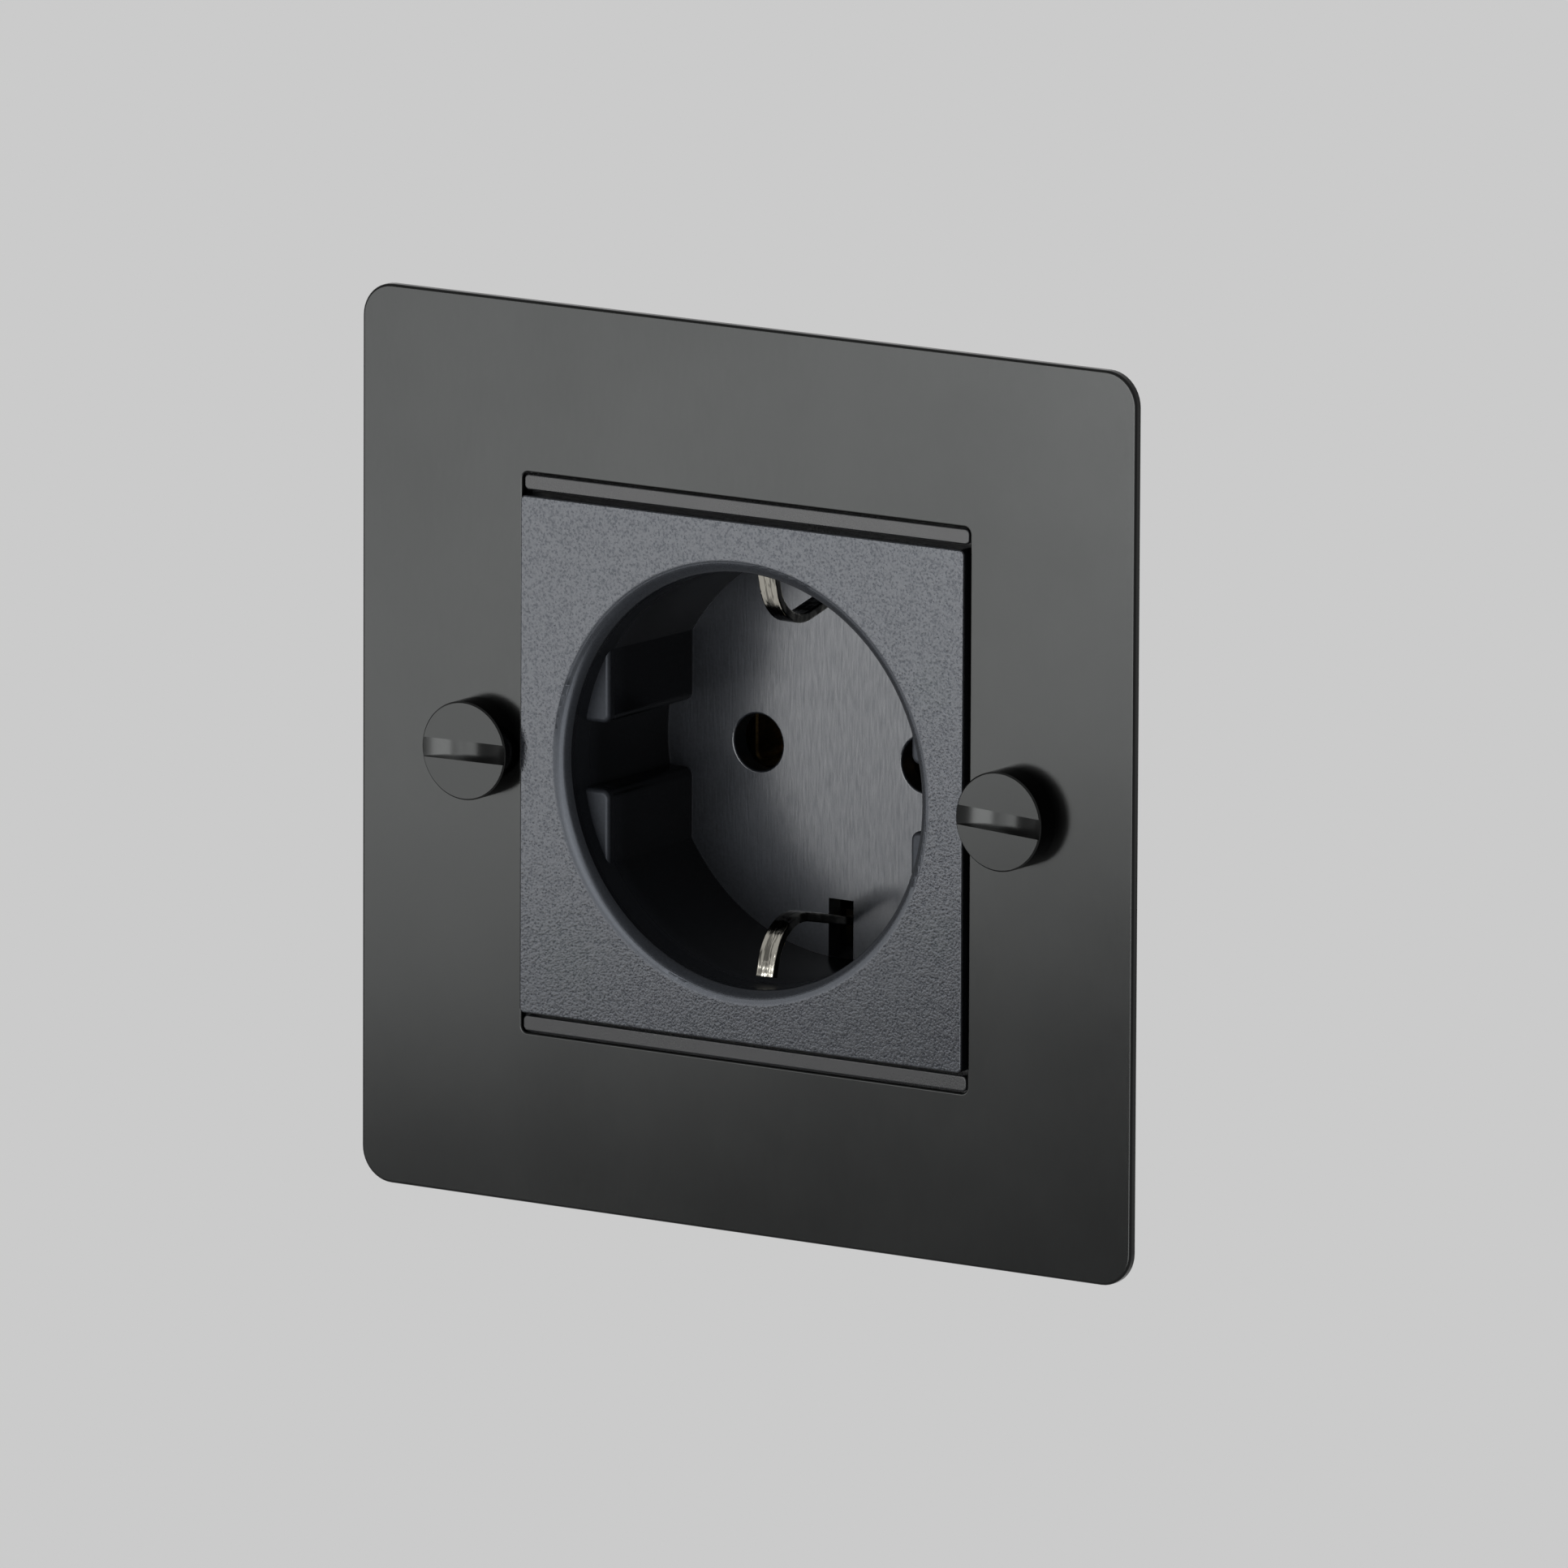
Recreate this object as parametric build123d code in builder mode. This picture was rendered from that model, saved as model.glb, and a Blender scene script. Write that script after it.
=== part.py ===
from build123d import *
import os

# Earthed two-pin wall socket: a square socket module clipped into a flat metal plate.
# The origin is the middle of the plate on the wall's surface, in millimetres. Seen from the room
# X points right and Z up. Y points into the wall, so the socket faces along -Y.

# Flat plate
PLATE_MARGIN = 13.35
PLATE_THICKNESS = 0.8
PLATE_CORNER = 3.3
PLATE_EDGE = 0.25
OPENING_EDGE = 0.2

# Seal between the plate and the wall
GASKET_THICKNESS = 0.5
GASKET_INSET = 0.8
GASKET_CLEARANCE = 0.3

# Coin-slot screws that hold the plate to the wall box
SCREW_OFFSET = 5.2
SCREW_RADIUS = 1.75
SCREW_NECK_RADIUS = 1.5
SCREW_LENGTH = 25.0
SCREW_POINT = 0.8
SCREW_CLEARANCE = 0.35
HEAD_RADIUS = 4.75
HEAD_HEIGHT = 2.6
HEAD_EDGE = 0.15
COIN_SLOT_WIDTH = 1.9
COIN_SLOT_DEPTH = 1.4
LEFT_SLOT_TURN = 0.8
RIGHT_SLOT_TURN = -3.0

# Face of the socket module
MODULE_MARGIN = 5.2
MODULE_CORNER = 0.5
FACE_PROUD = 0.7
FACE_THICKNESS = 2.4
FACE_EDGE = 0.15
SIDE_GAP = 0.25
SKIRT_STEP = 0.45
SKIRT_WALL = 1.5
SKIRT_CORNER = 1.2

# Carrier frame with the rails that show above and below the module
RAIL_HEIGHT = 1.5
RAIL_GAP = 0.4
RAIL_CLEARANCE = 0.15
RAIL_CORNER = 0.5
RAIL_SETBACK = 0.1
RAIL_EDGE = 0.15
CARRIER_EAR = 4.2
CARRIER_MARGIN = 3.6
CARRIER_CORNER = 3.0
FLANGE_THICKNESS = 2.0
COLLAR_WALL = 1.8
COLLAR_DEPTH = 4.8
COLLAR_CLEARANCE = 0.15
GUSSET_THICKNESS = 1.4
GUSSET_SPREAD = 30.0

# Snap latches that hold the module in the carrier
LATCH_WIDTH = 9.0
LATCH_ROOT = 0.8
LATCH_END = 1.0
LATCH_SLIT = 0.9
HOOK_WIDTH = 7.0
HOOK_HEIGHT = 0.95
HOOK_FLAT = 0.6
HOOK_RAMP = 3.8
HOOK_PLAY = 0.1

# Plug recess
RECESS_DEPTH = 17.5
RECESS_RADIUS = 19.75
RECESS_DRAFT = 0.2
RECESS_LIP = 1.25
CUP_WALL = 1.6
FLOOR_THICKNESS = 2.0
RIB_HEIGHT = 2.75
RIB_SETBACK = 3.3
RIB_NOTCH = 6.4
RIB_ROUND = 0.9
RIB_EDGE = 0.45

# Plug pins
PIN_CENTRES = 19.0
PIN_RADIUS = 2.4
PIN_LENGTH = 19.0
PIN_CLEARANCE = 0.35
PIN_HOLE_EDGE = 0.2
PIN_END_ROOM = 0.7

# Earth strap, bent from one strip
STRIP_THICKNESS = 0.9
EARTH_WIDTH = 2.0
EARTH_CLEARANCE = 0.4
EARTH_SLOT_LENGTH = 5.65
EARTH_TIP_DEPTH = 4.7
EARTH_TIP_GAP = 0.35
EARTH_NOSE_DEPTH = 6.2
EARTH_NOSE_INSET = 6.2
EARTH_NOSE_BEND = 4.7
EARTH_FLOOR_INSET = 3.7
EARTH_ROOT_BEND = 1.2
EARTH_EDGE = 0.2
BRIDGE_WIDTH = 8.0
BRIDGE_INSET = 3.6
BRIDGE_DEPTH = 3.0
BRIDGE_PAD_WIDTH = 1.2
BRIDGE_PAD_LENGTH = 22.0

# Leaf contacts
CONTACT_GAP = 4.3
CONTACT_HEIGHT = 7.6
CONTACT_BEND = 1.2
CONTACT_LEAF = 2.9
CONTACT_FLARE = 0.7
CONTACT_SETBACK = 4.0
CONTACT_EDGE = 0.2
STRIP_INSET = 5.75
SHOULDER_WIDTH = 5.6
SHOULDER_LENGTH = 1.3
TAIL_WIDTH = 4.2
TAIL_SETBACK = 0.9

# Box terminals
TERMINAL_WALL = 0.9
TERMINAL_THREAD_WALL = 2.0
TERMINAL_LENGTH = 7.0
TERMINAL_CLEARANCE = 0.2
WIRE_GAP = 1.9
PRESSURE_PLATE = 0.8
PRESSURE_LENGTH = 5.6
PRESSURE_ROOM = 0.5
TERMINAL_SCREW_RADIUS = 1.5
TERMINAL_THREAD_CLEARANCE = 0.05
TERMINAL_HEAD_RADIUS = 2.3
TERMINAL_HEAD_HEIGHT = 1.6
TERMINAL_HEAD_ROOM = 0.5
DRIVER_SLOT_WIDTH = 0.8
DRIVER_SLOT_DEPTH = 0.9

# Base
BASE_WALL = 1.6
BASE_RIM = 2.0
BASE_CORNER = 3.0
BASE_EDGE = 0.8
BASE_SIDE_ROOM = 1.1
POCKET_WALL = 1.2
POCKET_CLEARANCE = 0.1
WIRE_ENTRY_RADIUS = 2.0
WIRE_ENTRY_FUNNEL = 0.7
ACCESS_CLEARANCE = 0.3
SUPPORT_RIB = 1.4
SUPPORT_START = 5.0

# Screws and pegs that hold the base to the face
HOUSING_INSET = 4.7
HOUSING_SCREW_RADIUS = 1.45
HOUSING_SCREW_GRIP = 7.0
HOUSING_SCREW_CLEARANCE = 0.25
HOUSING_THREAD_CLEARANCE = 0.05
HOUSING_PILOT_ROOM = 1.0
HOUSING_HEAD_RADIUS = 2.6
HOUSING_HEAD_HEIGHT = 1.8
HOUSING_HEAD_CLEARANCE = 0.2
HOUSING_SINK = 9.0
BOSS_RADIUS = 2.8
PEG_RADIUS = 1.5
PEG_LENGTH = 3.0
PEG_CLEARANCE = 0.1

# Places along Y, from the room into the wall
PLATE_BACK = -GASKET_THICKNESS
PLATE_FRONT = PLATE_BACK - PLATE_THICKNESS
RAIL_FRONT = PLATE_FRONT + RAIL_SETBACK
FACE_FRONT = PLATE_FRONT - FACE_PROUD
FACE_BACK = FACE_FRONT + FACE_THICKNESS
FLANGE_BACK = PLATE_BACK + FLANGE_THICKNESS
COLLAR_BACK = FACE_BACK + COLLAR_DEPTH
FLOOR_FRONT = FACE_FRONT + RECESS_DEPTH
FLOOR_BACK = FLOOR_FRONT + FLOOR_THICKNESS
CAVITY_BACK = FLOOR_FRONT + PIN_LENGTH + PIN_END_ROOM
BASE_BACK = CAVITY_BACK + BASE_WALL
TERMINAL_BACK = CAVITY_BACK - POCKET_CLEARANCE
TERMINAL_FRONT = TERMINAL_BACK - TERMINAL_LENGTH
TERMINAL_MIDDLE = (TERMINAL_FRONT + TERMINAL_BACK) / 2
SHOULDER_BACK = TERMINAL_FRONT - POCKET_CLEARANCE
CONTACT_FRONT = FLOOR_BACK + CONTACT_SETBACK
CONTACT_BACK = SHOULDER_BACK - SHOULDER_LENGTH
BRIDGE_FRONT = FLOOR_BACK + BRIDGE_DEPTH
TAIL_BACK = TERMINAL_BACK - TAIL_SETBACK
HOUSING_SEAT = BASE_BACK - HOUSING_SINK

# Places out from the socket's middle
PIN_PLACE = PIN_CENTRES / 2
STRIP_PLACE = RECESS_RADIUS - STRIP_INSET
TERMINAL_INSIDE = STRIP_PLACE - STRIP_THICKNESS / 2
PRESSURE_PLACE = TERMINAL_INSIDE + STRIP_THICKNESS + WIRE_GAP
SCREW_TIP_PLACE = PRESSURE_PLACE + PRESSURE_PLATE
TERMINAL_MOUTH = SCREW_TIP_PLACE + PRESSURE_ROOM
TERMINAL_OUTSIDE = TERMINAL_MOUTH + TERMINAL_THREAD_WALL
WIRE_PLACE = TERMINAL_INSIDE + STRIP_THICKNESS + WIRE_GAP / 2
LEAF_TIP_PLACE = PIN_PLACE - CONTACT_LEAF

# Sizes that follow from the ones above, from the recess outwards
MODULE_SIZE = 2 * (RECESS_RADIUS + MODULE_MARGIN)
SCREW_CENTRES = MODULE_SIZE + 2 * SCREW_OFFSET
PLATE_SIZE = SCREW_CENTRES + 2 * PLATE_MARGIN
OPENING_WIDTH = MODULE_SIZE + 2 * SIDE_GAP
RAIL_INSIDE = MODULE_SIZE / 2 + RAIL_GAP
RAIL_OUTSIDE = RAIL_INSIDE + RAIL_HEIGHT
RAIL_LENGTH = OPENING_WIDTH - 2 * RAIL_CLEARANCE
OPENING_HEIGHT = 2 * (RAIL_OUTSIDE + RAIL_CLEARANCE)
OPENING_CORNER = RAIL_CORNER + RAIL_CLEARANCE
SCREW_HOLE_RADIUS = SCREW_RADIUS + SCREW_CLEARANCE
SKIRT_SIZE = MODULE_SIZE - 2 * SKIRT_STEP
SKIRT_INSIDE = SKIRT_SIZE - 2 * SKIRT_WALL
CARRIER_WIDTH = SCREW_CENTRES + 2 * CARRIER_EAR
CARRIER_HEIGHT = 2 * (RAIL_OUTSIDE + CARRIER_MARGIN)
COLLAR_WINDOW = SKIRT_SIZE + 2 * COLLAR_CLEARANCE
COLLAR_SIZE = COLLAR_WINDOW + 2 * COLLAR_WALL
MOUTH_RADIUS = RECESS_RADIUS + RECESS_DRAFT
CUP_RADIUS = MOUTH_RADIUS + CUP_WALL
PIN_HOLE_RADIUS = PIN_RADIUS + PIN_CLEARANCE
TERMINAL_WIDTH = TAIL_WIDTH + 2 * (TERMINAL_CLEARANCE + TERMINAL_WALL)
BASE_SIZE = 2 * (TERMINAL_OUTSIDE + BASE_SIDE_ROOM + BASE_WALL)
HOUSING_PLACE = BASE_SIZE / 2 - HOUSING_INSET
HOUSING_TUBE_RADIUS = HOUSING_HEAD_RADIUS + HOUSING_HEAD_CLEARANCE + POCKET_WALL
CONTACT_POCKET = CONTACT_HEIGHT + STRIP_THICKNESS + 4 * POCKET_CLEARANCE
TERMINAL_POCKET = TERMINAL_WIDTH + 2 * POCKET_CLEARANCE

# Directions, seen from the room: neutral lies right, live left and earth below
NEUTRAL_TURN = 0
LIVE_TURN = 180
EARTH_TURN = -90
TERMINAL_TURNS = (LIVE_TURN, NEUTRAL_TURN, EARTH_TURN)


def wall_plane(y, turn=0):
    """A plane parallel to the wall at depth y that faces the room, with its X turned from the right."""
    return Plane.XZ.offset(-y).rotated((0, -turn, 0))


def side_plane(place, turn):
    """A plane that faces out from the socket's middle, at that distance and turn, with its X along Y."""
    outward = wall_plane(0, turn).x_dir
    return Plane(origin=outward * place, x_dir=(0, 1, 0), z_dir=outward)


# Flat plate: one sheet, cut out for the module and softened along its front edges
with BuildPart() as front_plate:
    with BuildSketch(wall_plane(PLATE_BACK)):
        RectangleRounded(PLATE_SIZE, PLATE_SIZE, PLATE_CORNER)
        RectangleRounded(OPENING_WIDTH, OPENING_HEIGHT, OPENING_CORNER, mode=Mode.SUBTRACT)
        with GridLocations(SCREW_CENTRES, 0, 2, 1):
            Circle(SCREW_HOLE_RADIUS, mode=Mode.SUBTRACT)
    extrude(amount=PLATE_THICKNESS)
    sheet_front = front_plate.faces().sort_by(Axis.Y)[0]
    fillet(sheet_front.outer_wire().edges(), PLATE_EDGE)
    sheet_front = front_plate.faces().sort_by(Axis.Y)[0]
    fillet(sheet_front.inner_wires().sort_by(SortBy.LENGTH)[-1].edges(), OPENING_EDGE)

# Seal: a flat ring behind the plate's rim, round the carrier
with BuildPart() as wall_gasket:
    with BuildSketch(wall_plane(0)):
        RectangleRounded(
            PLATE_SIZE - 2 * GASKET_INSET, PLATE_SIZE - 2 * GASKET_INSET, PLATE_CORNER - GASKET_INSET
        )
        RectangleRounded(
            CARRIER_WIDTH + 2 * GASKET_CLEARANCE,
            CARRIER_HEIGHT + 2 * GASKET_CLEARANCE,
            CARRIER_CORNER + GASKET_CLEARANCE,
            mode=Mode.SUBTRACT,
        )
    extrude(amount=GASKET_THICKNESS)

# Coin-slot screws: turned heads on a plain neck and a thread, with a slot that runs out at the rim
with BuildPart() as plate_screws:
    cutter_radius = (HEAD_RADIUS**2 + COIN_SLOT_DEPTH**2) / (2 * COIN_SLOT_DEPTH)
    neck_end = FLANGE_BACK - PLATE_FRONT
    for x, turn in ((-SCREW_CENTRES / 2, LEFT_SLOT_TURN), (SCREW_CENTRES / 2, RIGHT_SLOT_TURN)):
        with BuildSketch(Plane((x, PLATE_FRONT, 0))):
            with BuildLine():
                Polyline(
                    (0, -HEAD_HEIGHT),
                    (HEAD_RADIUS - HEAD_EDGE, -HEAD_HEIGHT),
                    (HEAD_RADIUS, HEAD_EDGE - HEAD_HEIGHT),
                    (HEAD_RADIUS, 0),
                    (SCREW_NECK_RADIUS, 0),
                    (SCREW_NECK_RADIUS, neck_end),
                    (SCREW_RADIUS, neck_end + SCREW_RADIUS - SCREW_NECK_RADIUS),
                    (SCREW_RADIUS, SCREW_LENGTH - SCREW_POINT),
                    (SCREW_RADIUS - SCREW_POINT, SCREW_LENGTH),
                    (0, SCREW_LENGTH),
                    close=True,
                )
            make_face()
        revolve(axis=Axis((x, 0, 0), (0, 1, 0)))
        with BuildSketch(Plane((x, PLATE_FRONT - HEAD_HEIGHT, 0)).rotated((0, -turn, 0))):
            with Locations((0, COIN_SLOT_DEPTH - cutter_radius)):
                Circle(cutter_radius)
        extrude(amount=COIN_SLOT_WIDTH / 2, both=True, mode=Mode.SUBTRACT)

# Carrier: a flange behind the plate, rails through its opening and a collar that the module snaps into
with BuildPart() as carrier_frame:
    with BuildSketch(wall_plane(PLATE_BACK)):
        RectangleRounded(CARRIER_WIDTH, CARRIER_HEIGHT, CARRIER_CORNER)
    extrude(amount=-FLANGE_THICKNESS)
    with BuildSketch(wall_plane(PLATE_BACK)):
        RectangleRounded(COLLAR_SIZE, COLLAR_SIZE, SKIRT_CORNER + COLLAR_WALL)
    extrude(amount=PLATE_BACK - COLLAR_BACK)
    with BuildSketch(wall_plane(PLATE_BACK)):
        with GridLocations(0, RAIL_INSIDE + RAIL_OUTSIDE, 1, 2):
            RectangleRounded(RAIL_LENGTH, RAIL_HEIGHT, RAIL_CORNER)
    extrude(amount=PLATE_BACK - RAIL_FRONT)
    fillet(carrier_frame.faces().group_by(Axis.Y)[0].edges(), RAIL_EDGE)
    with BuildSketch(wall_plane(PLATE_BACK)):
        Rectangle(OPENING_WIDTH, 2 * RAIL_INSIDE)
    extrude(amount=PLATE_BACK - FACE_BACK, mode=Mode.SUBTRACT)
    with BuildSketch(wall_plane(FACE_BACK)):
        RectangleRounded(COLLAR_WINDOW, COLLAR_WINDOW, SKIRT_CORNER)
    extrude(amount=FACE_BACK - COLLAR_BACK, mode=Mode.SUBTRACT)
    with BuildSketch(wall_plane(PLATE_BACK)):
        with GridLocations(SCREW_CENTRES, 0, 2, 1):
            Circle(SCREW_HOLE_RADIUS)
    extrude(amount=-FLANGE_THICKNESS, mode=Mode.SUBTRACT)
    for x in (-GUSSET_SPREAD / 2, GUSSET_SPREAD / 2):
        with BuildSketch(Plane.YZ.offset(x)):
            with BuildLine():
                Polyline(
                    (FLANGE_BACK, COLLAR_SIZE / 2),
                    (FLANGE_BACK, CARRIER_HEIGHT / 2),
                    (COLLAR_BACK, COLLAR_SIZE / 2),
                    close=True,
                )
            make_face()
            mirror(about=Plane.XZ)
        extrude(amount=GUSSET_THICKNESS / 2, both=True)

# Face of the module: a square front with a drafted plug recess, a skirt and two snap latches
with BuildPart() as socket_face:
    with BuildSketch(wall_plane(FACE_FRONT)):
        RectangleRounded(MODULE_SIZE, MODULE_SIZE, MODULE_CORNER)
    extrude(amount=-FACE_THICKNESS)
    fillet(socket_face.faces().sort_by(Axis.Y)[0].outer_wire().edges(), FACE_EDGE)
    with BuildSketch(wall_plane(FACE_BACK)):
        RectangleRounded(SKIRT_SIZE, SKIRT_SIZE, SKIRT_CORNER)
        Rectangle(SKIRT_INSIDE, SKIRT_INSIDE, mode=Mode.SUBTRACT)
        Circle(CUP_RADIUS)
        with GridLocations(2 * HOUSING_PLACE, 2 * HOUSING_PLACE, 2, 2):
            Circle(BOSS_RADIUS)
    extrude(amount=FACE_BACK - FLOOR_BACK)

    # Recess with its draft and rounded lip
    with BuildSketch(Plane.XY):
        with BuildLine():
            Polyline(
                (0, FACE_FRONT),
                (MOUTH_RADIUS, FACE_FRONT),
                (RECESS_RADIUS, FLOOR_FRONT),
                (0, FLOOR_FRONT),
                close=True,
            )
        make_face()
    revolve(axis=Axis.Y, mode=Mode.SUBTRACT)
    fillet(socket_face.faces().sort_by(Axis.Y)[0].inner_wires()[0].edges(), RECESS_LIP)

    # Guide ribs left and right, notched at mid height and softened wherever they are clear of the wall
    with BuildSketch(wall_plane(FLOOR_FRONT)) as guide_ribs:
        Circle(RECESS_RADIUS + CUP_WALL / 2)
        Rectangle(2 * (RECESS_RADIUS - RIB_HEIGHT), 2 * CUP_RADIUS, mode=Mode.SUBTRACT)
        Rectangle(2 * CUP_RADIUS, RIB_NOTCH, mode=Mode.SUBTRACT)
        fillet(guide_ribs.vertices().sort_by_distance((0, 0))[:4], RIB_ROUND)
    extrude(amount=RECESS_DEPTH - RIB_SETBACK)
    rib_front = FACE_FRONT + RIB_SETBACK
    for rib_face in socket_face.faces().filter_by_position(Axis.Y, rib_front - RIB_EDGE, rib_front + RIB_EDGE):
        fillet(rib_face.edges().sort_by(SortBy.LENGTH)[:-1], RIB_EDGE)

    # Pin holes and the slots that the earth clips come through
    with BuildSketch(wall_plane(FLOOR_FRONT)):
        with GridLocations(PIN_CENTRES, 0, 2, 1):
            Circle(PIN_HOLE_RADIUS)
        with GridLocations(0, 2 * RECESS_RADIUS - EARTH_SLOT_LENGTH, 1, 2):
            Rectangle(EARTH_WIDTH + 2 * EARTH_CLEARANCE, EARTH_SLOT_LENGTH)
    extrude(amount=-FLOOR_THICKNESS, mode=Mode.SUBTRACT)
    floor_faces = socket_face.faces().filter_by_position(
        Axis.Y, FLOOR_FRONT - PIN_HOLE_EDGE, FLOOR_FRONT + PIN_HOLE_EDGE
    )
    fillet(floor_faces.sort_by(SortBy.AREA)[-1].inner_wires().edges(), PIN_HOLE_EDGE)

    # Pads behind the floor that press the earth strap on the base
    with BuildSketch(wall_plane(FLOOR_BACK)):
        with GridLocations(BRIDGE_WIDTH - SUPPORT_RIB, 0, 2, 1):
            Rectangle(BRIDGE_PAD_WIDTH, BRIDGE_PAD_LENGTH)
    extrude(amount=-BRIDGE_DEPTH)

    # Snap latches: a tongue cut free in the skirt's upper and lower wall, with a hook on it
    latch_start = FACE_BACK + LATCH_ROOT
    hook_start = COLLAR_BACK + HOOK_PLAY
    hook_end = hook_start + HOOK_FLAT + HOOK_RAMP
    latch_length = hook_end + LATCH_END - latch_start
    for side in (-1, 1):
        with BuildSketch(Plane.XY.offset(side * SKIRT_SIZE / 2)):
            with Locations((0, latch_start)):
                Rectangle(
                    LATCH_WIDTH + 2 * LATCH_SLIT,
                    latch_length + LATCH_SLIT,
                    align=(Align.CENTER, Align.MIN),
                )
                Rectangle(
                    LATCH_WIDTH, latch_length, align=(Align.CENTER, Align.MIN), mode=Mode.SUBTRACT
                )
        extrude(amount=-side * SKIRT_WALL, mode=Mode.SUBTRACT)
    with BuildSketch(Plane.YZ):
        with BuildLine():
            Polyline(
                (hook_start, SKIRT_SIZE / 2 - SKIRT_WALL / 2),
                (hook_start, SKIRT_SIZE / 2 + HOOK_HEIGHT),
                (hook_start + HOOK_FLAT, SKIRT_SIZE / 2 + HOOK_HEIGHT),
                (hook_end, SKIRT_SIZE / 2),
                (hook_end, SKIRT_SIZE / 2 - SKIRT_WALL / 2),
                close=True,
            )
        make_face()
        mirror(about=Plane.XZ)
    extrude(amount=HOOK_WIDTH / 2, both=True)

    # Two corners take the housing screws and the other two carry pegs
    with BuildSketch(wall_plane(FLOOR_BACK)):
        with Locations((HOUSING_PLACE, HOUSING_PLACE), (-HOUSING_PLACE, -HOUSING_PLACE)):
            Circle(HOUSING_SCREW_RADIUS + HOUSING_THREAD_CLEARANCE)
    extrude(amount=HOUSING_SCREW_GRIP + HOUSING_PILOT_ROOM, mode=Mode.SUBTRACT)
    with BuildSketch(wall_plane(FLOOR_BACK)):
        with Locations((-HOUSING_PLACE, HOUSING_PLACE), (HOUSING_PLACE, -HOUSING_PLACE)):
            Circle(PEG_RADIUS)
    extrude(amount=-PEG_LENGTH)

# Base: a rimmed box behind the recess, with pockets for the contacts and the terminals
with BuildPart() as rear_base:
    with BuildSketch(wall_plane(FLOOR_BACK)):
        RectangleRounded(BASE_SIZE, BASE_SIZE, BASE_CORNER)
    extrude(amount=FLOOR_BACK - BASE_BACK)
    chamfer(rear_base.faces().sort_by(Axis.Y)[-1].edges(), BASE_EDGE)
    with BuildSketch(wall_plane(FLOOR_BACK)):
        RectangleRounded(SKIRT_SIZE, SKIRT_SIZE, SKIRT_CORNER)
    extrude(amount=-BASE_RIM)
    with BuildSketch(wall_plane(FLOOR_BACK)):
        RectangleRounded(BASE_SIZE - 2 * BASE_WALL, BASE_SIZE - 2 * BASE_WALL, BASE_CORNER - BASE_WALL)
    extrude(amount=FLOOR_BACK - CAVITY_BACK, mode=Mode.SUBTRACT)

    # Pocket walls, corner tubes and the ribs that back the earth strap
    pole_start = LEAF_TIP_PLACE - STRIP_THICKNESS - POCKET_WALL
    earth_start = TERMINAL_INSIDE - TERMINAL_WALL - POCKET_CLEARANCE - POCKET_WALL
    with BuildSketch(wall_plane(FLOOR_BACK)):
        with PolarLocations(pole_start, 2):
            Rectangle(
                BASE_SIZE / 2 - pole_start, CONTACT_POCKET + 2 * POCKET_WALL, align=(Align.MIN, Align.CENTER)
            )
        with PolarLocations(earth_start, 1, start_angle=EARTH_TURN):
            Rectangle(
                BASE_SIZE / 2 - earth_start, TERMINAL_POCKET + 2 * POCKET_WALL, align=(Align.MIN, Align.CENTER)
            )
        with GridLocations(2 * HOUSING_PLACE, 2 * HOUSING_PLACE, 2, 2):
            Circle(HOUSING_TUBE_RADIUS)
        with GridLocations(BRIDGE_WIDTH - SUPPORT_RIB, 0, 2, 1):
            with Locations((0, SUPPORT_START)):
                Rectangle(SUPPORT_RIB, BASE_SIZE / 2 - SUPPORT_START, align=(Align.CENTER, Align.MIN))
    extrude(amount=FLOOR_BACK - CAVITY_BACK - BASE_WALL / 2)

    # Pockets, open towards the recess
    with BuildSketch(wall_plane(FLOOR_BACK)):
        with PolarLocations(pole_start + POCKET_WALL, 2):
            Rectangle(
                STRIP_PLACE + STRIP_THICKNESS - pole_start - POCKET_WALL,
                CONTACT_POCKET,
                align=(Align.MIN, Align.CENTER),
            )
        for turn in TERMINAL_TURNS:
            with PolarLocations(earth_start + POCKET_WALL, 1, start_angle=turn):
                Rectangle(
                    TERMINAL_OUTSIDE + POCKET_CLEARANCE - earth_start - POCKET_WALL,
                    TERMINAL_POCKET,
                    align=(Align.MIN, Align.CENTER),
                )
    extrude(amount=FLOOR_BACK - CAVITY_BACK, mode=Mode.SUBTRACT)
    with BuildSketch(wall_plane(FLOOR_BACK)):
        Rectangle(BRIDGE_WIDTH + 2 * EARTH_CLEARANCE, 2 * RECESS_RADIUS)
    extrude(amount=-(BRIDGE_DEPTH + STRIP_THICKNESS + POCKET_CLEARANCE), mode=Mode.SUBTRACT)

    # Wire entries at the back, and the holes that a screwdriver reaches the terminals through
    with BuildSketch(wall_plane(BASE_BACK)):
        for turn in TERMINAL_TURNS:
            with PolarLocations(WIRE_PLACE, 1, start_angle=turn):
                Circle(WIRE_ENTRY_RADIUS)
    extrude(amount=BASE_WALL, mode=Mode.SUBTRACT)
    entry_rims = rear_base.faces().sort_by(Axis.Y)[-1].inner_wires()
    chamfer(entry_rims.edges(), WIRE_ENTRY_FUNNEL)
    for turn in TERMINAL_TURNS:
        with BuildSketch(side_plane(BASE_SIZE / 2, turn)):
            with Locations((TERMINAL_MIDDLE, 0)):
                Circle(TERMINAL_HEAD_RADIUS + ACCESS_CLEARANCE)
        extrude(amount=TERMINAL_OUTSIDE - BASE_SIZE / 2, mode=Mode.SUBTRACT)

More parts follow.
